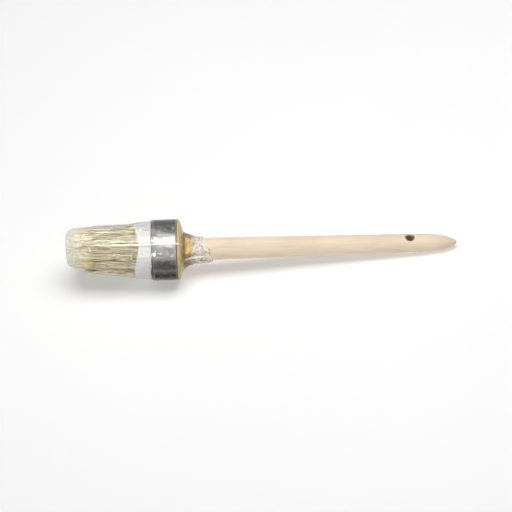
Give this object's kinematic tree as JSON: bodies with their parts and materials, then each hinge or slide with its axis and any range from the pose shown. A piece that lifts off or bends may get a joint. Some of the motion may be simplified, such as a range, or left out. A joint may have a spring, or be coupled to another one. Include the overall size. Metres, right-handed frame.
{
  "type": "round stencil brush",
  "caption": "Round hog-bristle brush with a thread-bound head, a metal ferrule and a long beech handle with a hang hole, its head sealed in clear shrink film.",
  "frame": {"origin": "centre of the wrapped head's flat front face, on the brush's axis", "axes": "+X along the brush's axis from the bristles to the handle's tail; +Z along the hang hole; +Y completes a right-handed frame"},
  "size_m": [0.2605, 0.0409, 0.041],
  "materials": {
    "beech": "sanded and unvarnished, with fine pale grain along its length",
    "tinplate": "bright rolled sheet steel, nickel or tin plated, with faint rings",
    "yellow_plastic": "moulded, slightly translucent and amber where it is thick",
    "resin": "cast amber resin",
    "hog_bristle": "natural white hog bristle with a soft sheen, cream with grey-green and brown strands",
    "cotton_thread": "white twisted thread",
    "shrink_film": "clear glossy film with fine crinkles, milky where it is gathered"
  },
  "bodies": {
    "root": {"handle": "beech", "ferrule": "tinplate", "end_cap": "yellow_plastic", "setting_compound": "resin", "bristle_pack": "hog_bristle", "binding_winding": "cotton_thread", "binding_lashing": "cotton_thread", "film_sleeve": "shrink_film"}
  },
  "joints": []
}
